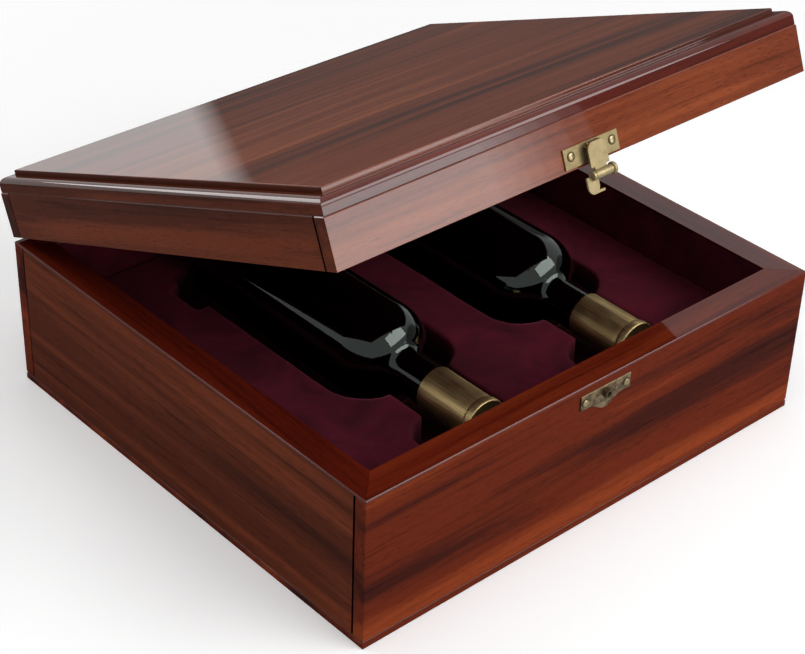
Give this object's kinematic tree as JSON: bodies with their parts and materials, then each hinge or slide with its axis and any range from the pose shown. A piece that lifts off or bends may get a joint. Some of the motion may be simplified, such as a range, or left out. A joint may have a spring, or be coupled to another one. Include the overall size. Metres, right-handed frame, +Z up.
{
  "type": "wooden wine box",
  "caption": "Flat lacquered wooden box with a hinged moulded lid, hasp and catch, and a velvet bed that holds bottles lying side by side.",
  "frame": {"origin": "middle of the underside of the base board", "axes": "+X along the front to the right, +Y from front to back, +Z up"},
  "size_m": [0.42, 0.4094, 0.3093],
  "materials": {
    "wood": "glossy lacquer",
    "rim_wood": "glossy lacquer",
    "velvet": "velvet",
    "brass": "satin",
    "aged_brass": "aged",
    "bottle_glass": "glossy",
    "wine": "glossy",
    "cork": "matte",
    "foil": "satin"
  },
  "bodies": {
    "box": {"front_wall": "wood", "back_wall": "wood", "left_wall": "wood", "right_wall": "wood", "base_board": "wood", "rim_front": "rim_wood", "rim_back": "rim_wood", "rim_left": "rim_wood", "rim_right": "rim_wood", "lining_front": "velvet", "lining_back": "velvet", "lining_left": "velvet", "lining_right": "velvet", "bottle_bed": "velvet", "catch_plate": "aged_brass", "catch_post": "aged_brass", "catch_nail_left": "aged_brass", "catch_nail_right": "aged_brass", "left_hinge_lower_leaf": "brass", "right_hinge_lower_leaf": "brass", "left_hinge_pin": "aged_brass", "right_hinge_pin": "aged_brass", "left_hinge_lower_screws": "aged_brass", "right_hinge_lower_screws": "aged_brass"},
    "lid": {"lid_front_wall": "wood", "lid_back_wall": "wood", "lid_left_wall": "wood", "lid_right_wall": "wood", "moulding_front": "wood", "moulding_back": "wood", "moulding_left": "wood", "moulding_right": "wood", "lid_panel": "wood", "lid_pad": "velvet", "lid_lining_front": "velvet", "lid_lining_back": "velvet", "lid_lining_left": "velvet", "lid_lining_right": "velvet", "left_hinge_upper_leaf": "brass", "right_hinge_upper_leaf": "brass", "left_hinge_upper_screws": "aged_brass", "right_hinge_upper_screws": "aged_brass", "hasp_plate": "brass", "hasp_nail_left": "aged_brass", "hasp_nail_right": "aged_brass", "hasp_pin": "aged_brass"},
    "hasp": {"hasp_leaf": "brass", "hasp_rivet": "brass", "hasp_tab": "brass"},
    "left_bottle": {"left_glass": "bottle_glass", "left_wine": "wine", "left_cork": "cork", "left_foil": "foil"},
    "right_bottle": {"right_glass": "bottle_glass", "right_wine": "wine", "right_cork": "cork", "right_foil": "foil"}
  },
  "joints": [
    {"name": "lid_hinge", "type": "hinge", "parent": "box", "child": "lid", "pos_m": [0, 0.2015, 0.1202], "axis": [-1, 0, 0], "range_deg": [-22, 76]},
    {"name": "hasp_pivot", "type": "hinge", "parent": "lid", "child": "hasp", "pos_m": [0, -0.16424, 0.28221], "axis": [-1, 0, 0], "range_deg": [-6, 90]},
    {"name": "left_bottle_lift", "type": "slide", "parent": "box", "child": "left_bottle", "axis": [0, 0, 1], "range_m": [0, 0.025]},
    {"name": "right_bottle_lift", "type": "slide", "parent": "box", "child": "right_bottle", "axis": [0, 0, 1], "range_m": [0, 0.025]}
  ]
}
